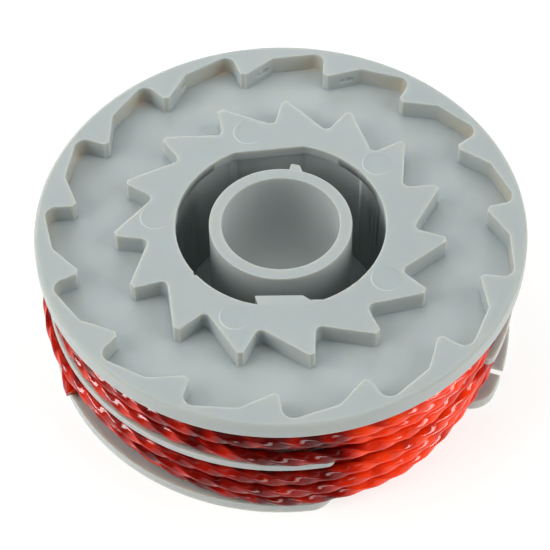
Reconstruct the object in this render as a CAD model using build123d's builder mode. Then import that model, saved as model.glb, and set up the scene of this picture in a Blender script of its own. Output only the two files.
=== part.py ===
from build123d import *
from math import cos, radians, sin
import os

os.makedirs("parts", exist_ok=True)

# Line
line_diameter = 2.0
winding_clearance = 0.05
winding_bulge = 0.3
ridge_height = 1.0
upper_turns_across = 3
lower_turns_across = 4

# Sides where the outer turns lie deeper: all of them at the right, the lowest ones at the left
right_dip_facing = 338.0
right_dip_span = 76.0
right_dip_depth = 1.4
left_dip_facing = 228.0
left_dip_span = 62.0
left_dip_depth = 1.9
left_dip_turns = 2

# Hub: a bored tube standing in a round well, with the winding drum outside the well
bore_radius = 8.65
tube_wall = 1.85
well_radius = 15.4
well_lip_height = 1.8
well_relief = 0.4
drum_wall = 1.7
web_thickness = 2.0

# Flanges and the channels between them, from the bottom up
line_flange_radius = 35.0
bottom_flange_thickness = 1.8
lower_channel_height = 9.1
mid_flange_thickness = 1.3
upper_channel_height = 6.5
top_flange_radius = 36.0
floor_plate_thickness = 1.5
track_depth = 3.3
rim_side_height = 2.8
rim_undercut = 2.4
rim_chamfer = 0.35

# Ratchet: teeth pointing in from the rim and out from the star, with the pin track between them
tooth_count = 15
rim_wall = 0.9
ring_tooth_depth = 5.1
ring_knee_depth = 1.75
ring_phase = 5.1
ring_steep_angle = 1.3
ring_knee_angle = 14.5
ring_root_round = 1.6
ring_tip_flat = 0.78
star_root_radius = 19.4
star_tooth_height = 5.6
star_phase = 16.7
star_steep_angle = 3.7
star_root_round = 0.9
star_tip_flat = 0.95

# Well keying: a flat at the back, a skewed tab at the front and a small catch on the tube
flat_distance = 14.5
flat_facing = 96.4
tab_reach = 2.1
tab_half_width = 3.4
tab_skew = 0.7
tab_depth = 4.8
tab_shoulder = 1.2
tab_shoulder_width = 3.0
catch_facing = 77.0
catch_width = 2.2
catch_reach = 1.5
catch_drop = 0.5
catch_depth = 3.0

# Flange windows where the line is bare, and the notch that grips a line end
window_count = 2
window_depth = 8.0
window_floor_round = 2.0
mid_window_start = 282.5
mid_window_end = 330.4
mid_window_round = 1.2
bottom_window_start = 284.0
bottom_window_end = 327.5
bottom_window_round = 4.0
notch_facing = 341.3
notch_depth = 4.0
notch_grip = 0.1

# Cut end of the lower line, lying out over the bottom flange
end_start_angle = 194.0
end_stop_angle = 206.0
end_overhang = 0.6

# Sizes that follow from those above
tube_radius = bore_radius + tube_wall
drum_radius = well_radius + well_relief + drum_wall
winding_crown = line_flange_radius + winding_bulge
tab_root_radius = drum_radius - drum_wall / 2
lower_channel_floor = bottom_flange_thickness
mid_flange_floor = lower_channel_floor + lower_channel_height
upper_channel_floor = mid_flange_floor + mid_flange_thickness
plate_floor = upper_channel_floor + upper_channel_height
track_floor = plate_floor + floor_plate_thickness
spool_height = track_floor + track_depth
ring_root_radius = top_flange_radius - rim_wall
ring_tip_radius = ring_root_radius - ring_tooth_depth
star_tip_radius = star_root_radius + star_tooth_height
tooth_pitch = 360 / tooth_count


def polar(radius, angle):
    """Point at a radius and at an angle in degrees from +X."""
    return (radius * cos(radians(angle)), radius * sin(radians(angle)))


def tooth_corners(one_tooth):
    """Corners of a toothed outline: one tooth's (radius, angle) points repeated round the axis."""
    turns = [tooth_pitch * tooth for tooth in range(tooth_count)]
    return [polar(radius, angle + turn) for turn in turns for radius, angle in one_tooth]


def flange_outline(window_start, window_end, corner_round):
    """Round line flange with rounded windows in its edge, spaced evenly round the axis."""
    span = window_end - window_start
    step = 360 / window_count
    floor_radius = line_flange_radius - window_depth
    with BuildSketch() as outline:
        with BuildLine():
            for window in range(window_count):
                start = window_start + window * step
                CenterArc((0, 0), floor_radius, start, span)
                CenterArc((0, 0), line_flange_radius, start + span, step - span)
                for side in (start, start + span):
                    Line(polar(floor_radius, side), polar(line_flange_radius, side))
        make_face()
        fillet(outline.vertices().group_by(SortBy.DISTANCE)[-1], corner_round)
        fillet(outline.vertices().group_by(SortBy.DISTANCE)[0], window_floor_round)
    return outline.sketch


def winding_section(channel_floor, channel_height, inner, crowns):
    """Half-section of a wound line: flat inside and on the flanges, one ridge outside for each turn."""
    low = channel_floor + winding_clearance
    pitch = (channel_height - 2 * winding_clearance) / len(crowns)
    corners = [(inner, low + len(crowns) * pitch), (inner, low)]
    for turn, crown in enumerate(crowns):
        corners += [
            (crown - ridge_height, low + turn * pitch),
            (crown, low + (turn + 0.5) * pitch),
            (crown - ridge_height, low + (turn + 1) * pitch),
        ]
    with BuildSketch(Plane.XZ) as section:
        with BuildLine():
            Polyline(*dict.fromkeys(corners), close=True)
        make_face()
    return section.sketch


def dip_disc(channel_floor, channel_height, facing, span, depth, dipped_turns, free_turns):
    """Wide ridged disc, off the axis, that a winding is cut to where its turns lie deeper on one side."""
    reach = winding_crown - depth
    shift = (winding_crown**2 - reach**2) / 2 / (reach - winding_crown * cos(radians(span / 2)))
    wide = reach + shift
    with BuildPart() as disc:
        crowns = [wide] * dipped_turns + [2 * wide] * free_turns
        revolve(winding_section(channel_floor, channel_height, 0, crowns), axis=Axis.Z)
    return Pos(*polar(shift, facing + 180)) * disc.part


with BuildPart() as spool_body:
    # Drum and flat flanges
    Cylinder(drum_radius, spool_height, align=(Align.CENTER, Align.CENTER, Align.MIN))
    with BuildSketch():
        add(flange_outline(bottom_window_start, bottom_window_end, bottom_window_round))
        with PolarLocations(line_flange_radius, window_count, start_angle=notch_facing):
            SlotOverall(2 * notch_depth, line_diameter - notch_grip, mode=Mode.SUBTRACT)
    extrude(amount=bottom_flange_thickness)
    with BuildSketch(Plane.XY.offset(mid_flange_floor)):
        add(flange_outline(mid_window_start, mid_window_end, mid_window_round))
    extrude(amount=mid_flange_thickness)

    # Top flange: its underside slopes down from the rim to the floor plate
    with BuildSketch(Plane.XZ):
        with BuildLine():
            Polyline(
                (0, plate_floor),
                (top_flange_radius - rim_undercut, plate_floor),
                (top_flange_radius, spool_height - rim_side_height),
                (top_flange_radius, spool_height),
                (0, spool_height),
                close=True,
            )
        make_face()
    revolve(axis=Axis.Z)
    rims = spool_body.edges().filter_by(GeomType.CIRCLE).group_by(SortBy.RADIUS)[-1]
    chamfer(rims.sort_by(Axis.Z)[-1], rim_chamfer)

    # Pin track between the ring's teeth and the star's teeth
    with BuildSketch(Plane.XY.offset(spool_height)) as ring_outline:
        with BuildLine():
            ring_tooth = [
                (ring_tip_radius, ring_phase),
                (ring_root_radius, ring_phase + ring_steep_angle),
                (ring_root_radius - ring_knee_depth, ring_phase + ring_knee_angle),
            ]
            Polyline(*tooth_corners(ring_tooth), close=True)
        make_face()
        fillet(ring_outline.vertices().group_by(SortBy.DISTANCE)[-1], ring_root_round)
        chamfer(ring_outline.vertices().group_by(SortBy.DISTANCE)[0], ring_tip_flat)
    extrude(amount=-track_depth, mode=Mode.SUBTRACT)
    with BuildSketch(Plane.XY.offset(track_floor)) as star_outline:
        with BuildLine():
            star_tooth = [
                (star_tip_radius, star_phase),
                (star_root_radius, star_phase + star_steep_angle),
            ]
            Polyline(*tooth_corners(star_tooth), close=True)
        make_face()
        fillet(star_outline.vertices().group_by(SortBy.DISTANCE)[0], star_root_round)
        chamfer(star_outline.vertices().group_by(SortBy.DISTANCE)[-1], star_tip_flat)
    extrude(amount=track_depth)

    # Well round the tube, wider below its lip
    with BuildSketch(Plane.XY.offset(web_thickness)):
        Circle(well_radius + well_relief)
        with PolarLocations(flat_distance, 1, start_angle=flat_facing):
            Rectangle(drum_radius, 2 * drum_radius, align=(Align.MIN, Align.CENTER), mode=Mode.SUBTRACT)
        Circle(tube_radius, mode=Mode.SUBTRACT)
    extrude(amount=spool_height - web_thickness - well_lip_height, mode=Mode.SUBTRACT)
    with BuildSketch(Plane.XY.offset(spool_height)):
        Circle(well_radius)
        with PolarLocations(flat_distance, 1, start_angle=flat_facing):
            Rectangle(drum_radius, 2 * drum_radius, align=(Align.MIN, Align.CENTER), mode=Mode.SUBTRACT)
        Circle(tube_radius, mode=Mode.SUBTRACT)
    extrude(amount=-well_lip_height, mode=Mode.SUBTRACT)

    # Skewed tab at the front of the well's mouth, rooted in the drum's wall
    with BuildSketch(Plane.XY.offset(spool_height)):
        with BuildLine():
            Polyline(
                (-tab_half_width + tab_skew, -drum_radius),
                (-tab_half_width - tab_skew / 2, -well_radius + tab_reach),
                (tab_half_width - tab_skew / 2, -well_radius + tab_reach),
                (tab_half_width + tab_skew, -well_radius + tab_shoulder),
                (tab_half_width + tab_shoulder_width, -well_radius + tab_shoulder),
                (tab_half_width + tab_shoulder_width, -drum_radius),
                close=True,
            )
        make_face()
        Circle(tab_root_radius, mode=Mode.INTERSECT)
    extrude(amount=-tab_depth)

    # Catch on the back of the tube, and the bore
    with BuildSketch(Plane.XY.offset(spool_height - catch_drop)):
        with PolarLocations(tube_radius + catch_reach, 1, start_angle=catch_facing):
            Rectangle(catch_reach + tube_wall / 2, catch_width, align=(Align.MAX, Align.CENTER))
    extrude(amount=-catch_depth)
    Hole(bore_radius)
spool_body.part.label = "spool_body"

with BuildPart() as upper_line:
    channel = (upper_channel_floor, upper_channel_height)
    inner = drum_radius + winding_clearance
    revolve(winding_section(*channel, inner, [winding_crown] * upper_turns_across), axis=Axis.Z)
    right_dip = (right_dip_facing, right_dip_span, right_dip_depth)
    add(dip_disc(*channel, *right_dip, upper_turns_across, 0), mode=Mode.INTERSECT)
upper_line.part.label = "upper_line"

with BuildPart() as lower_line:
    channel = (lower_channel_floor, lower_channel_height)
    revolve(winding_section(*channel, inner, [winding_crown] * lower_turns_across), axis=Axis.Z)
    left_dip = (left_dip_facing, left_dip_span, left_dip_depth)
    left_free_turns = lower_turns_across - left_dip_turns
    add(dip_disc(*channel, *right_dip, lower_turns_across, 0), mode=Mode.INTERSECT)
    add(dip_disc(*channel, *left_dip, left_dip_turns, left_free_turns), mode=Mode.INTERSECT)
    # The cut end leaves the outer turn and stops just past the flange's edge
    end_height = bottom_flange_thickness + line_diameter / 2 + winding_clearance
    end_start = Vector(*polar(line_flange_radius - line_diameter, end_start_angle), end_height)
    end_stop = Vector(*polar(line_flange_radius + end_overhang, end_stop_angle), end_height)
    with BuildSketch(Plane(origin=end_start, z_dir=end_stop - end_start)):
        RegularPolygon(line_diameter / 2, 8)
    extrude(amount=(end_stop - end_start).length)
lower_line.part.label = "lower_line"

export_step(spool_body.part, "parts/spool_body.step")
export_step(upper_line.part, "parts/upper_line.step")
export_step(lower_line.part, "parts/lower_line.step")
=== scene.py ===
from math import atan2, cos, hypot, radians, sin, tau

import bmesh
import bpy
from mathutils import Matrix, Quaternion, Vector


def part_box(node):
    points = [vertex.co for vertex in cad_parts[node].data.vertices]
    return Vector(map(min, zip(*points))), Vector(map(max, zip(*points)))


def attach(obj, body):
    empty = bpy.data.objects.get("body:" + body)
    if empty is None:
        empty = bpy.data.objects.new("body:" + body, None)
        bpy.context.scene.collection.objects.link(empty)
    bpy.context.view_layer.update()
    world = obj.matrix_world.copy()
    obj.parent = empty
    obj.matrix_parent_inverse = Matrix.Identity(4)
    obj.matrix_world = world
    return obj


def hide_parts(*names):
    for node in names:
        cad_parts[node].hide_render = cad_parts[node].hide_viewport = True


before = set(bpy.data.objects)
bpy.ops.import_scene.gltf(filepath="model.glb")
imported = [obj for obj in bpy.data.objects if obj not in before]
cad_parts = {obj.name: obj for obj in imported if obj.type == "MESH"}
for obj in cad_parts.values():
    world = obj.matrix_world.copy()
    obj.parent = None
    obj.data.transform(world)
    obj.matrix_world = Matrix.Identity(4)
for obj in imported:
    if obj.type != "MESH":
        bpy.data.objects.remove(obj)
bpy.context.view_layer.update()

# Spool body: one injection moulding in grey plastic, with the drum, the three flanges, the ratchet
# teeth and the bored hub in a single shot. Its edges are barely broken, and five ejector pins have
# each left a shallow round mark on the star.
mm = 0.001
merge_distance = 0.001 * mm
flat_angle = radians(0.3)
split_angle = radians(1)
sharp_angle = radians(32)
edge_round = 0.16 * mm
edge_segments = 2
star_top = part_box("spool_body")[1].z
well_inside, well_outside = 12.2 * mm, 16.2 * mm
well_low, well_high = 1.0 * mm, 22.6 * mm
lip_radius = 15.4 * mm
lip_nicks = ((216.8, 0.45 * mm), (40.6, 0.18 * mm))
nick_sides = 6
mark_facings = (38, 105, 176, 249, 325)
mark_distance = 18.4 * mm
mark_radius = 2.2 * mm
mark_depth = 0.1 * mm
mark_edge = 0.12 * mm
mark_sides = 48
flat_facing = 96.4
flat_relief_radius = 15.76 * mm
flat_relief_distance = 14.9 * mm
flat_relief_low, flat_relief_high = 2.4 * mm, 21.66 * mm
flat_relief_sides = 192
catch_facing = 77
catch_cut_size = (2.2 * mm, 2.2 * mm, 4.5 * mm)
catch_cut_distance = 12.0 * mm
catch_cut_offset = -1.48 * mm
catch_cut_depth = 1.75 * mm
catch_cut_turn = 31
tab_slope = radians(7.5)
tab_slope_start = -15.1 * mm
tab_cut_size = (9 * mm, 4 * mm, 2 * mm)
weld_line_facing = 40
weld_line_distance = 15.93 * mm
weld_line_radius = 0.3 * mm
weld_line_length = 17 * mm
weld_line_height = 13 * mm
weld_line_sides = 8
dent_facings = (71.0, 94.5, 117.6)
dent_size = (1.3 * mm, 0.4 * mm, 0.55 * mm)
dent_height = 21.75 * mm
dent_segments, dent_rings = 24, 12
track_middle = 27 * mm

# Colours of the moulding, most of whose tints are painted light. A pair of lengths runs from where
# a tint begins to where it is full.
greys = ((0.3, (0.402, 0.436, 0.432)), (0.7, (0.421, 0.455, 0.451)))
clouding_scale, clouding_detail = 70, 4
plastic_roughness = (0.36, 0.5)
grain_scale, grain_detail = 2600, 3
grain_strength, grain_depth = 0.06, 0.05 * mm
# Painted light: a warm glow on the ring's outer wall near the tooth roots, standing for light
# passing through the thin wall.
painted_root_glow_colour = (0.475, 0.45, 0.37)
root_glow_from = (32.6 * mm, 34.6 * mm)
root_glow_to = (35.5 * mm, 35.2 * mm)
root_glow_depth = (23.3 * mm, 22.4 * mm)
# Painted light: the track floor and the lower flanges are painted paler, as light passing through
# the thin plates, which also offsets the shade that falls on them.
painted_plate_light = (0.452, 0.484, 0.479)
plate_top = (19.6 * mm, 20.0 * mm)
plate_depth = (20.6 * mm, 20.3 * mm)
plate_reach = (18 * mm, 19.5 * mm)
flange_height = (12.6 * mm, 12.2 * mm)
flange_reach = (30 * mm, 31 * mm)
# Painted highlights: pale crescents on one side of the edges of the ejector marks.
painted_mark_highlight = (0.6, 0.63, 0.62)
mark_outline = (mark_radius + 0.09 * mm, mark_radius + 0.03 * mm)
mark_inline = (mark_radius, mark_radius + 0.1 * mm)
mark_shine = Vector((0.13, 0.13, 0)) * mm
# Painted glints: pale spots at the dents in the ring's wall.
painted_dent_glint = (0.72, 0.75, 0.74)
dent_shine = (0.6 * mm, 0.2 * mm)
# The weld line's pale stripe is partly its paler flow mark and partly a painted highlight along its
# bead.
weld_line_flow_and_highlight = (0.74, 0.79, 0.79)
weld_line_side = (0 * mm, 1 * mm)
weld_line_half = (0.4 * mm, 0.15 * mm)
weld_line_from = (15.2 * mm, lip_radius)
weld_line_to = (16.3 * mm, well_outside)
weld_line_fade = (11 * mm, 19 * mm)
weld_line_top = (well_high, flat_relief_high)


def add_object(name, data):
    """New object in the scene with this data."""
    piece = bpy.data.objects.new(name, data)
    bpy.context.scene.collection.objects.link(piece)
    return piece


def make_active(piece):
    """Leaves this piece alone selected and active, so that operators act on nothing else."""
    bpy.ops.object.select_all(action="DESELECT")
    piece.select_set(True)
    bpy.context.view_layer.objects.active = piece


def apply_modifier(piece, kind, **settings):
    """Adds a modifier with these settings to a piece and applies it."""
    make_active(piece)
    modifier = piece.modifiers.new(kind.lower(), kind)
    for setting, value in settings.items():
        setattr(modifier, setting, value)
    bpy.ops.object.modifier_apply(modifier=modifier.name)


def edit_merged(piece):
    """Opens a piece's mesh for editing, all of it selected, with points in one place merged."""
    make_active(piece)
    bpy.ops.object.mode_set(mode="EDIT")
    bpy.ops.mesh.select_all(action="SELECT")
    bpy.ops.mesh.remove_doubles(threshold=merge_distance)


# The flat faces are made whole, but in two halves, so that no face runs round a hole. The edges to
# round are then chosen, without those inside the well.
moulding = add_object("moulded_spool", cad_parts["spool_body"].data.copy())
edit_merged(moulding)
bpy.ops.mesh.bisect(plane_co=(0, 0, 0), plane_no=(-sin(split_angle), cos(split_angle), 0))
bpy.ops.mesh.mark_seam()
bpy.ops.mesh.select_all(action="SELECT")
bpy.ops.mesh.dissolve_limited(angle_limit=flat_angle, delimit={"SEAM"})
bpy.ops.mesh.select_mode(type="EDGE")
bpy.ops.mesh.select_all(action="DESELECT")
bpy.ops.mesh.edges_select_sharp(sharpness=sharp_angle)
spool_mesh = bmesh.from_edit_mesh(moulding.data)
for edge in spool_mesh.edges:
    middle = (edge.verts[0].co + edge.verts[1].co) / 2
    in_wall = well_inside < hypot(middle.x, middle.y) < well_outside
    if in_wall and well_low < middle.z < well_high:
        edge.select = False
bmesh.update_edit_mesh(moulding.data)
bpy.ops.transform.edge_bevelweight(value=1)
bpy.ops.object.mode_set(mode="OBJECT")


def round_at(facing, distance, height, aside=0):
    """Place at a facing in degrees and a distance from the axis, moved aside along the round."""
    across, along = cos(radians(facing)), sin(radians(facing))
    return Vector((distance * across - aside * along, distance * along + aside * across, height))


def carve(operation="DIFFERENCE"):
    """Cuts the tool just made out of the moulding, or adds it on, and removes the tool."""
    tool = bpy.context.object
    apply_modifier(moulding, "BOOLEAN", operation=operation, solver="EXACT", object=tool)
    bpy.data.objects.remove(tool)


# Ejector marks on the star
for facing in mark_facings:
    bpy.ops.mesh.primitive_cone_add(
        vertices=mark_sides,
        radius1=mark_radius - mark_edge,
        radius2=mark_radius + mark_edge,
        depth=2 * mark_depth,
        location=round_at(facing, mark_distance, star_top),
    )
    carve()

# Relief in the well's wall, below the flat in its mouth
bpy.ops.mesh.primitive_cylinder_add(
    vertices=flat_relief_sides,
    radius=flat_relief_radius,
    depth=flat_relief_high - flat_relief_low,
    location=(0, 0, (flat_relief_high + flat_relief_low) / 2),
)
bpy.ops.object.mode_set(mode="EDIT")
for distance, keep_inner in ((flat_relief_distance, True), (well_inside, False)):
    bpy.ops.mesh.select_all(action="SELECT")
    bpy.ops.mesh.bisect(
        plane_co=round_at(flat_facing, distance, 0),
        plane_no=round_at(flat_facing, 1, 0),
        use_fill=True,
        clear_outer=keep_inner,
        clear_inner=not keep_inner,
    )
bpy.ops.object.mode_set(mode="OBJECT")
carve()

# Slanting side of the catch, which leaves a wedge
bpy.ops.mesh.primitive_cube_add(
    size=1,
    scale=catch_cut_size,
    location=round_at(
        catch_facing, catch_cut_distance, star_top - catch_cut_depth, catch_cut_offset
    ),
    rotation=(0, 0, radians(catch_facing + catch_cut_turn)),
)
carve()

# Slope on top of the tab, down towards the hub
tab_cut_reach, tab_cut_rise = tab_cut_size[1] / 2, tab_cut_size[2] / 2
bpy.ops.mesh.primitive_cube_add(
    size=1,
    scale=tab_cut_size,
    location=(
        0,
        tab_slope_start + tab_cut_reach * cos(tab_slope) + tab_cut_rise * sin(tab_slope),
        star_top - tab_cut_reach * sin(tab_slope) + tab_cut_rise * cos(tab_slope),
    ),
    rotation=(-tab_slope, 0, 0),
)
carve()

# Weld line, a low bead down the well's wall
bpy.ops.mesh.primitive_cylinder_add(
    vertices=weld_line_sides,
    radius=weld_line_radius,
    depth=weld_line_length,
    location=round_at(weld_line_facing, weld_line_distance, weld_line_height),
    rotation=(0, 0, radians(weld_line_facing - 180 / weld_line_sides)),
)
carve("UNION")

# Dents in the ratchet ring's wall
dent_places = []
for facing in dent_facings:
    _, wall, wall_normal, _ = moulding.ray_cast(
        round_at(facing, track_middle, dent_height), round_at(facing, 1, 0)
    )
    dent_places.append(wall)
    bpy.ops.mesh.primitive_uv_sphere_add(
        segments=dent_segments,
        ring_count=dent_rings,
        radius=1,
        scale=dent_size,
        location=wall,
        rotation=(0, 0, atan2(wall_normal.y, wall_normal.x) + radians(90)),
    )
    carve()

# Nicks in the lip of the well
for facing, nick in lip_nicks:
    bpy.ops.mesh.primitive_cylinder_add(
        vertices=nick_sides,
        radius=nick,
        depth=3 * nick,
        location=round_at(facing, lip_radius, star_top),
    )
    carve()

# Faces that the cuts have left inside the plastic are deleted before the edges are rounded.
make_active(moulding)
bpy.ops.object.mode_set(mode="EDIT")
bpy.ops.mesh.select_all(action="DESELECT")
bpy.ops.mesh.select_interior_faces()
bpy.ops.mesh.delete(type="FACE")
bpy.ops.object.mode_set(mode="OBJECT")
apply_modifier(
    moulding,
    "BEVEL",
    width=edge_round,
    segments=edge_segments,
    limit_method="WEIGHT",
    use_clamp_overlap=False,
)
bpy.ops.object.shade_smooth_by_angle(angle=sharp_angle)
apply_modifier(moulding, "WEIGHTED_NORMAL", keep_sharp=True)


def new_material(name, settings):
    """Material with these constants on its shader's sockets."""
    material = bpy.data.materials.new(name)
    material.use_nodes = True
    sockets = material.node_tree.nodes["Principled BSDF"].inputs
    for socket, value in settings.items():
        sockets[socket].default_value = value
    return material


def dress(piece, material):
    """Gives a piece one material in place of any that it has."""
    piece.data.materials.clear()
    piece.data.materials.append(material)


def math_node(operation, *values):
    """Math node in the material at hand, fed by outputs or plain numbers."""
    node = nodes.new("ShaderNodeMath")
    node.operation = operation
    for socket, value in zip(node.inputs, values):
        if isinstance(value, (int, float)):
            socket.default_value = value
        else:
            links.new(value, socket)
    return node.outputs["Value"]


def product(first, *others):
    """Outputs multiplied together."""
    for other in others:
        first = math_node("MULTIPLY", first, other)
    return first


def span_node(value, start, end, low=0, high=1):
    """Level that goes from low to high while a value goes from a start to an end."""
    node = nodes.new("ShaderNodeMapRange")
    node.inputs["From Min"].default_value = start
    node.inputs["From Max"].default_value = end
    node.inputs["To Min"].default_value = low
    node.inputs["To Max"].default_value = high
    links.new(value, node.inputs["Value"])
    return node.outputs["Result"]


def split_node(vector):
    """The X, Y and Z of a vector."""
    node = nodes.new("ShaderNodeSeparateXYZ")
    links.new(vector, node.inputs["Vector"])
    return node.outputs


def gap_node(vector, centre):
    """Distance of a vector from a place."""
    node = nodes.new("ShaderNodeVectorMath")
    node.operation = "DISTANCE"
    links.new(vector, node.inputs[0])
    node.inputs[1].default_value = centre
    return node.outputs["Value"]


def noise_node(vector, scale, detail):
    """Soft noise over a vector."""
    node = nodes.new("ShaderNodeTexNoise")
    node.inputs["Scale"].default_value = scale
    node.inputs["Detail"].default_value = detail
    links.new(vector, node.inputs["Vector"])
    return node.outputs["Fac"]


def ramp_node(value, stops):
    """Colour that a value picks between (position, colour) stops."""
    node = nodes.new("ShaderNodeValToRGB")
    elements = node.color_ramp.elements
    for position, colour in stops:
        elements.new(position).color = (*colour, 1)
    elements.remove(elements[0])
    elements.remove(elements[-1])
    links.new(value, node.inputs["Fac"])
    return node.outputs["Color"]


def tint_node(colour, tint, share):
    """Colour moved towards a tint by a share."""
    node = nodes.new("ShaderNodeMix")
    node.data_type = "RGBA"
    links.new(share, node.inputs["Factor"])
    links.new(colour, node.inputs["A"])
    node.inputs["B"].default_value = (*tint, 1)
    return node.outputs["Result"]


plastic = new_material(
    "grey_moulded_plastic",
    {
        "Subsurface Weight": 1.0,
        "Subsurface Radius": (1.3, 1.0, 0.7),
        "Subsurface Scale": 1.6 * mm,
        "IOR": 1.46,
    },
)
nodes, links = plastic.node_tree.nodes, plastic.node_tree.links
shader = nodes["Principled BSDF"]
place = nodes.new("ShaderNodeTexCoord").outputs["Object"]
spot = split_node(place)
height = spot["Z"]
reach = math_node(
    "SQRT",
    math_node("ADD", math_node("POWER", spot["X"], 2), math_node("POWER", spot["Y"], 2)),
)

above_plate = span_node(height, *plate_top)
# Where the painted warm glow lies on the ring's outer wall.
root_glow = product(
    span_node(reach, *root_glow_from),
    span_node(reach, *root_glow_to),
    above_plate,
    span_node(height, *root_glow_depth),
)
# Where the painted plate light lies: the track floor and the lower flanges.
track_floor = product(
    above_plate, span_node(height, *plate_depth), span_node(reach, *plate_reach)
)
lower_flanges = product(span_node(height, *flange_height), span_node(reach, *flange_reach))
# Painted highlights: a pale crescent at the edge of each ejector mark.
crescents = 0
for facing in mark_facings:
    centre = round_at(facing, mark_distance, star_top)
    crescent = product(
        span_node(gap_node(place, centre), *mark_outline),
        span_node(gap_node(place, centre + mark_shine), *mark_inline),
    )
    crescents = math_node("MAXIMUM", crescents, crescent)
# Painted glints: a pale spot at each dent.
shines = 0
for wall in dent_places:
    shines = math_node("MAXIMUM", shines, span_node(gap_node(place, wall), *dent_shine))
# Stripe of the weld line: partly its paler flow mark, partly a painted highlight.
off_line = math_node(
    "ABSOLUTE",
    math_node(
        "SUBTRACT",
        math_node("MULTIPLY", spot["X"], sin(radians(weld_line_facing))),
        math_node("MULTIPLY", spot["Y"], cos(radians(weld_line_facing))),
    ),
)
weld_line = product(
    span_node(spot["X"], *weld_line_side),
    span_node(reach, *weld_line_from),
    span_node(reach, *weld_line_to),
    span_node(off_line, *weld_line_half),
    span_node(height, *weld_line_fade),
    span_node(height, *weld_line_top),
)

clouding = noise_node(place, clouding_scale, clouding_detail)
grey = ramp_node(clouding, greys)
# The painted glow, the painted plate light and the painted highlights go onto the grey here.
for tint, share in (
    (painted_root_glow_colour, root_glow),
    (painted_plate_light, math_node("MAXIMUM", track_floor, lower_flanges)),
    (painted_mark_highlight, crescents),
    (painted_dent_glint, shines),
    (weld_line_flow_and_highlight, weld_line),
):
    grey = tint_node(grey, tint, share)
grain = nodes.new("ShaderNodeBump")
grain.inputs["Strength"].default_value = grain_strength
grain.inputs["Distance"].default_value = grain_depth
links.new(noise_node(place, grain_scale, grain_detail), grain.inputs["Height"])
links.new(grey, shader.inputs["Base Color"])
links.new(span_node(clouding, 0, 1, *plastic_roughness), shader.inputs["Roughness"])
links.new(grain.outputs["Normal"], shader.inputs["Normal"])
dress(moulding, plastic)
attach(moulding, "root")
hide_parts("spool_body")

# Upper line: red nylon line, drawn with a rounded square section and twisted, so that its corners
# wind round it. It is wound tight on the drum between the top and middle flanges, in layers, and
# only the last layer shows, with the one below it in the gaps.
line_half_width = 0.9 * mm
line_sides = 4
line_sharp_angle = radians(50)
section_power = 4.5
section_points = 24
twist_pitch = 17.0 * mm
lay_radius = 34 * mm
lay_step = 6
lay_smoothness = 5
wave = 0.07 * mm
waves_out, waves_up = 3.3, 2.3
core_inside = 17.6 * mm
core_sides = 160
upper_core_radius = 30.6 * mm

# Stations of the last layer: facing in degrees, counted on over the turns, then radius and height
# in millimetres. The layer below has the same radii on each turn, from one height to another.
upper_route = (
    (90, 33.4, 17.6),
    (180, 34.0, 17.6),
    (225, 34.3, 17.6),
    (270, 34.5, 17.55),
    (300, 34.4, 17.4),
    (320, 33.6, 17.4),
    (340, 33.1, 17.5),
    (450, 33.6, 16.6),
    (540, 33.2, 15.5),
    (585, 33.3, 15.4),
    (630, 33.3, 15.4),
    (660, 34.2, 15.2),
    (680, 33.6, 15.2),
    (700, 33.1, 15.4),
    (810, 33.8, 14.4),
    (900, 33.9, 13.4),
    (933, 33.8, 13.3),
    (945, 34.1, 13.3),
    (960, 33.8, 13.3),
    (970, 33.9, 13.3),
    (990, 34.5, 13.3),
    (1020, 34.5, 12.9),
    (1040, 33.6, 13.1),
    (1060, 33.1, 13.3),
    (1170, 33.4, 13.4),
    (1230, 31.0, 13.4),
)
upper_below = (
    (90, 31.8),
    (180, 31.6),
    (225, 31.5),
    (270, 31.7),
    (300, 32.5),
    (320, 32.0),
    (340, 31.4),
)
upper_below_turns = 3
upper_below_heights = (17.2, 13.4)

# Colours of the line: reds from deep to bright, and a painted glow round half the spool, light
# through the line in the windows and shade between.
line_reds = (
    (0.02, (0.1, 0.002, 0.001)),
    (0.35, (0.35, 0.008, 0.003)),
    (0.6, (0.62, 0.022, 0.005)),
    (0.98, (1.0, 0.055, 0.007)),
)
glow_stops = (
    (0.02, 0.4),
    (0.14, 0.44),
    (0.25, 0.48),
    (0.34, 0.27),
    (0.5, 0.17),
    (0.56, 0.2),
    (0.61, 0.9),
    (0.72, 1.0),
    (0.79, 0.86),
    (0.86, 0.43),
    (0.98, 0.43),
)
facet_contrast = 1.6
facets_along = 170
facet_row_gap = 5.3
between_channels = (11 * mm, 12.5 * mm)
upper_shade = 0.05
line_roughness = (0.1, 0.2)

section_curve = bpy.data.curves.new("line_section", "CURVE")
section_spline = section_curve.splines.new("POLY")
section_spline.points.add(section_points - 1)
section_spline.use_cyclic_u = True
for index, point in enumerate(section_spline.points):
    turn = tau * index / section_points
    across, along = cos(turn), sin(turn)
    swell = (abs(across) ** section_power + abs(along) ** section_power) ** (-1 / section_power)
    point.co = (line_half_width * swell * across, line_half_width * swell * along, 0, 1)
line_section = add_object("line_section", section_curve)


def eased(share):
    """Smooth step from 0 to 1."""
    return share * share * (3 - 2 * share)


def lay_at(route, angle):
    """Radius and height of a route at an angle between its stations."""
    for (angle0, radius0, height0), (angle1, radius1, height1) in zip(route, route[1:]):
        if angle <= angle1:
            share = eased((angle - angle0) / (angle1 - angle0))
            return radius0 + (radius1 - radius0) * share, height0 + (height1 - height0) * share


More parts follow.
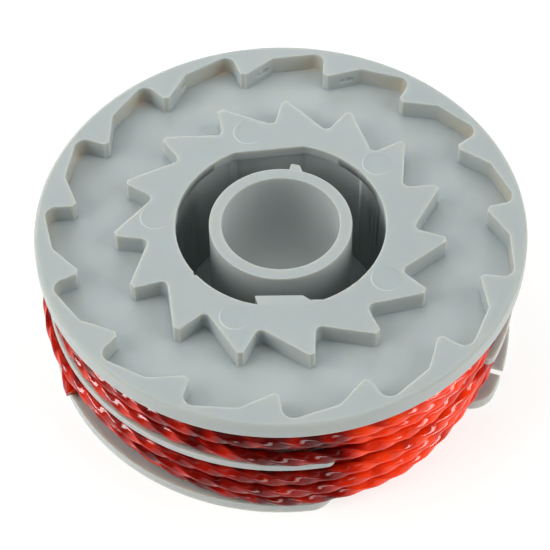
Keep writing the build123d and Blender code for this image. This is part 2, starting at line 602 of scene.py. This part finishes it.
def strand(name, route, phase):
    """Mesh of one length of twisted line along a route, its waves and twist moved by a phase."""
    first, last = route[0][0], route[-1][0]
    count = round((last - first) / lay_step) + 1
    curve = bpy.data.curves.new(name, "CURVE")
    curve.dimensions = "3D"
    curve.twist_mode = "Z_UP"
    curve.bevel_mode = "OBJECT"
    curve.bevel_object = line_section
    curve.use_fill_caps = True
    curve.resolution_u = lay_smoothness
    spline = curve.splines.new("NURBS")
    spline.points.add(count - 1)
    spline.use_endpoint_u = True
    spline.order_u = 4
    for index, point in enumerate(spline.points):
        angle = first + (last - first) * index / (count - 1)
        radius, height = lay_at(route, angle)
        turned = radians(angle)
        radius = radius * mm + wave * sin(waves_out * turned + phase)
        height = height * mm + wave * sin(waves_up * turned + 2 * phase)
        point.co = (radius * cos(turned), radius * sin(turned), height, 1)
        point.tilt = phase + lay_radius * turned / twist_pitch * tau
    length = add_object(name, curve)
    make_active(length)
    bpy.ops.object.convert(target="MESH")
    edit_merged(length)
    bpy.ops.object.mode_set(mode="OBJECT")
    return length


def route_below(radii, turns, heights):
    """Route of the layer below: these radii on each of the turns, from one height to another."""
    first, last = heights
    route = []
    for turn in range(turns):
        for angle, radius in radii:
            share = (angle + 360 * turn - radii[0][0]) / (360 * turns)
            route.append((angle + 360 * turn, radius, first + (last - first) * share))
    return route


def core_of(name, node, outer_radius):
    """Plain ring for the layers that nothing shows, as high as the node's winding."""
    low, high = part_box(node)
    bpy.ops.mesh.primitive_cylinder_add(
        vertices=core_sides,
        radius=outer_radius,
        depth=high.z - low.z,
        location=(0, 0, (high.z + low.z) / 2),
        end_fill_type="NOTHING",
    )
    ring = bpy.context.object
    ring.name = name
    bpy.ops.object.transform_apply(location=True)
    apply_modifier(ring, "SOLIDIFY", thickness=outer_radius - core_inside, offset=-1)
    return ring


nylon = new_material(
    "red_twisted_nylon",
    {
        "Subsurface Weight": 0.3,
        "Subsurface Radius": (1.0, 0.12, 0.04),
        "Subsurface Scale": 1.0 * mm,
        "IOR": 1.53,
        "Specular IOR Level": 0.26,
    },
)
nodes, links = nylon.node_tree.nodes, nylon.node_tree.links
shader = nodes["Principled BSDF"]
place = nodes.new("ShaderNodeTexCoord")

# Each side of the line has its own row of paler and darker facets along it.
run = split_node(place.outputs["UV"])
side = math_node("FLOOR", math_node("MULTIPLY_ADD", run["Y"], line_sides, 0.5))
row = math_node("MULTIPLY", math_node("MODULO", side, line_sides), facet_row_gap)
cell = nodes.new("ShaderNodeCombineXYZ")
links.new(math_node("MULTIPLY", run["X"], facets_along), cell.inputs["X"])
links.new(row, cell.inputs["Y"])
facet = noise_node(cell.outputs["Vector"], scale=1, detail=1)

# The line is painted bright in the two windows of the flanges, as light passing through it, and
# painted deep between them as shade. The upper line is painted a little darker still, as shade.
round_share = nodes.new("ShaderNodeTexGradient")
round_share.gradient_type = "RADIAL"
links.new(place.outputs["Object"], round_share.inputs["Vector"])
half_share = math_node("FRACT", math_node("MULTIPLY", round_share.outputs["Fac"], 2))
glow = ramp_node(half_share, [(position, (level,) * 3) for position, level in glow_stops])
height = split_node(place.outputs["Object"])["Z"]
# Painted shade: the upper line a little darker.
shade = math_node("MULTIPLY", span_node(height, *between_channels), upper_shade)
facet_tone = math_node("MULTIPLY", math_node("SUBTRACT", facet, 0.5), facet_contrast)
red = ramp_node(
    math_node("ADD", math_node("SUBTRACT", facet_tone, shade), glow),
    line_reds,
)
links.new(red, shader.inputs["Base Color"])
links.new(span_node(facet, 0, 1, *line_roughness), shader.inputs["Roughness"])


def join_winding(name, lengths, node):
    """One piece in red nylon out of the lengths of a winding, standing for its CAD node."""
    make_active(lengths[0])
    for length in lengths:
        length.select_set(True)
    bpy.ops.object.join()
    winding = bpy.context.object
    winding.name = name
    bpy.ops.object.shade_smooth_by_angle(angle=line_sharp_angle)
    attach(winding, "root")
    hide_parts(node)
    dress(winding, nylon)
    return winding


upper_inner = route_below(upper_below, upper_below_turns, upper_below_heights)
upper_winding = join_winding(
    "upper_winding",
    [
        strand("upper_outer_layer", upper_route, phase=0.4),
        strand("upper_layer_below", upper_inner, phase=1.3),
        core_of("upper_core", "upper_line", upper_core_radius),
    ],
    "upper_line",
)

# Lower line: a second length of the same line in the channel below the middle flange. It bulges out
# at the left, and its cut end lies free on the bottom flange, just past the flange's edge.
lower_core_radius = 30.2 * mm
end_reach = 2.6 * mm
end_stretch = 0.99
end_cut_back = 0.6 * mm
end_cut_slope = -0.35
lower_route = (
    (90, 34.3, 9.8),
    (180, 34.9, 9.8),
    (206, 35.0, 9.7),
    (228, 34.6, 9.4),
    (250, 34.5, 8.9),
    (270, 34.8, 8.5),
    (300, 34.6, 9.5),
    (315, 34.0, 9.7),
    (330, 33.3, 9.8),
    (350, 33.2, 9.6),
    (450, 34.3, 8.6),
    (540, 34.3, 7.8),
    (566, 34.4, 7.8),
    (588, 34.5, 7.4),
    (600, 34.5, 6.8),
    (610, 34.6, 6.3),
    (630, 34.9, 5.9),
    (660, 34.6, 6.8),
    (675, 33.7, 7.2),
    (690, 33.1, 7.4),
    (710, 33.1, 7.2),
    (810, 34.2, 5.9),
    (900, 34.0, 5.2),
    (930, 33.2, 4.6),
    (948, 33.0, 4.0),
    (960, 33.2, 3.6),
    (970, 33.5, 3.4),
    (980, 34.1, 3.1),
    (990, 34.5, 2.95),
    (1020, 34.5, 3.7),
    (1027, 34.0, 4.2),
    (1035, 33.4, 4.6),
    (1046, 32.9, 4.8),
    (1070, 32.9, 4.4),
    (1170, 34.0, 3.4),
    (1260, 33.3, 2.95),
    (1274, 33.6, 3.0),
    (1287, 35.0, 2.7),
)
lower_below = (
    (90, 32.6),
    (180, 32.3),
    (228, 31.4),
    (250, 31.8),
    (270, 32.8),
    (300, 32.9),
    (320, 31.7),
    (345, 31.4),
)
lower_below_turns = 4
lower_below_heights = (10.0, 3.0)

# The end is cut off at a slant. Only the last stretch of the line is cut, not the turns beside it:
# its faces are known by how far along the line they lie, and its cap by its many corners.
lower_outer = strand("lower_outer_layer", lower_route, phase=2.2)
end_facing, end_distance, end_height = lower_route[-1]
end_place = round_at(end_facing, end_distance * mm, end_height * mm)
end_way = round_at(end_facing, 0, 0, 1)
bpy.ops.object.mode_set(mode="EDIT")
bpy.ops.mesh.select_mode(type="FACE")
bpy.ops.mesh.select_all(action="DESELECT")
end_mesh = bmesh.from_edit_mesh(lower_outer.data)
run_layer = end_mesh.loops.layers.uv.active
for face in end_mesh.faces:
    near_end = (face.calc_center_median() - end_place).length < end_reach
    own_side = all(corner[run_layer].uv.x > end_stretch for corner in face.loops)
    face.select = near_end and (own_side or len(face.verts) > 4)
bmesh.update_edit_mesh(lower_outer.data)
bpy.ops.mesh.bisect(
    plane_co=end_place - end_cut_back * end_way,
    plane_no=end_way + Vector((0, 0, end_cut_slope)),
    use_fill=True,
    clear_outer=True,
)
bpy.ops.object.mode_set(mode="OBJECT")
lower_inner = route_below(lower_below, lower_below_turns, lower_below_heights)
lower_winding = join_winding(
    "lower_winding",
    [
        lower_outer,
        strand("lower_layer_below", lower_inner, phase=0.8),
        core_of("lower_core", "lower_line", lower_core_radius),
    ],
    "lower_line",
)
bpy.data.objects.remove(line_section)

# Floor: a plain near-white sheet of paper on the table, which the spool stands on. It glows, so
# that it comes out as white as a cut-out ground while the spool still shades it.
floor_half = 1.5
warm_white = (1.0, 0.99, 0.97, 1)
bpy.ops.mesh.primitive_plane_add(size=2 * floor_half)
floor = bpy.context.object
floor.name = "floor"
paper = new_material(
    "white_paper",
    {
        "Base Color": (0.3, 0.303, 0.303, 1),
        "Roughness": 0.9,
        "Specular IOR Level": 0.1,
        "Emission Color": warm_white,
        "Emission Strength": 0.76,
    },
)
dress(floor, paper)

# Studio light: a large soft box overhead, one behind and one at each side, in a dim even room. The
# side boxes only fill, and three small lamps give only the crisp glints on the line.
light_aim = Vector((0, 0, 12)) * mm
room_light = 0.02
cool_white, back_white = (0.92, 1.0, 1.02), (0.96, 1.0, 1.04)
side_white, lamp_white = (0.99, 1.0, 0.98), (1.0, 1.0, 1.0)
wound_line = bpy.data.collections.new("wound_line")
wound_line.objects.link(upper_winding)
wound_line.objects.link(lower_winding)


def look_at(piece, target):
    """Turns a light or a camera to a target."""
    piece.rotation_mode = "QUATERNION"
    piece.rotation_quaternion = (target - piece.location).to_track_quat("-Z", "Y")


def soft_box(name, place, colour, size, power, fills=True, glints=True):
    """Square area light that faces the spool, with its place and size in metres."""
    lamp = bpy.data.lights.new(name, "AREA")
    lamp.shape = "SQUARE"
    lamp.size = size
    lamp.energy = power
    lamp.color = colour
    box = add_object(name, lamp)
    box.visible_diffuse = fills
    box.visible_glossy = glints
    if not fills:
        box.light_linking.receiver_collection = wound_line
    box.location = place
    look_at(box, light_aim)


soft_box("overhead_box", (0.0, 0.06, 0.6), cool_white, size=0.6, power=1.34)
soft_box("back_box", (-0.1, 0.5, 0.25), back_white, size=0.6, power=1.8)
soft_box("left_box", (-0.48, -0.12, 0.3), side_white, size=0.5, power=3.1, glints=False)
soft_box("right_box", (0.48, -0.12, 0.28), side_white, size=0.5, power=2.6, glints=False)
soft_box("left_lamp", (-0.44, -0.11, 0.276), lamp_white, size=0.22, power=3.6, fills=False)
soft_box("right_lamp", (0.44, -0.11, 0.258), lamp_white, size=0.22, power=2.6, fills=False)
soft_box("front_lamp", (0.03, -0.5, 0.2), lamp_white, size=0.2, power=0.95, fills=False)
world = bpy.data.worlds.new("even_room")
world.use_nodes = True
room = world.node_tree.nodes["Background"]
room.inputs["Color"].default_value = warm_white
room.inputs["Strength"].default_value = room_light
bpy.context.scene.world = world
bpy.context.scene.view_settings.view_transform = "Standard"

# Camera: a long lens, looking down at the toothed face from the front. Its place, aim and roll put
# the rim, the flanges, the tube and the tips of the star where the photo has them.
sensor_width = 36.0
lens_length = 141.8
near_limit = 10 * mm
camera_place = Vector((0, -202.75, 266.5)) * mm
camera_aim = Vector((-0.878, -9.745, 23.5)) * mm
camera_roll = Quaternion((0, 0, 1), radians(-0.775))

lens = bpy.data.cameras.new("photo_camera")
lens.sensor_width = sensor_width
lens.lens = lens_length
lens.clip_start = near_limit
camera = add_object("photo_camera", lens)
camera.location = camera_place
look_at(camera, camera_aim)
camera.rotation_quaternion = camera.rotation_quaternion @ camera_roll
bpy.context.scene.camera = camera
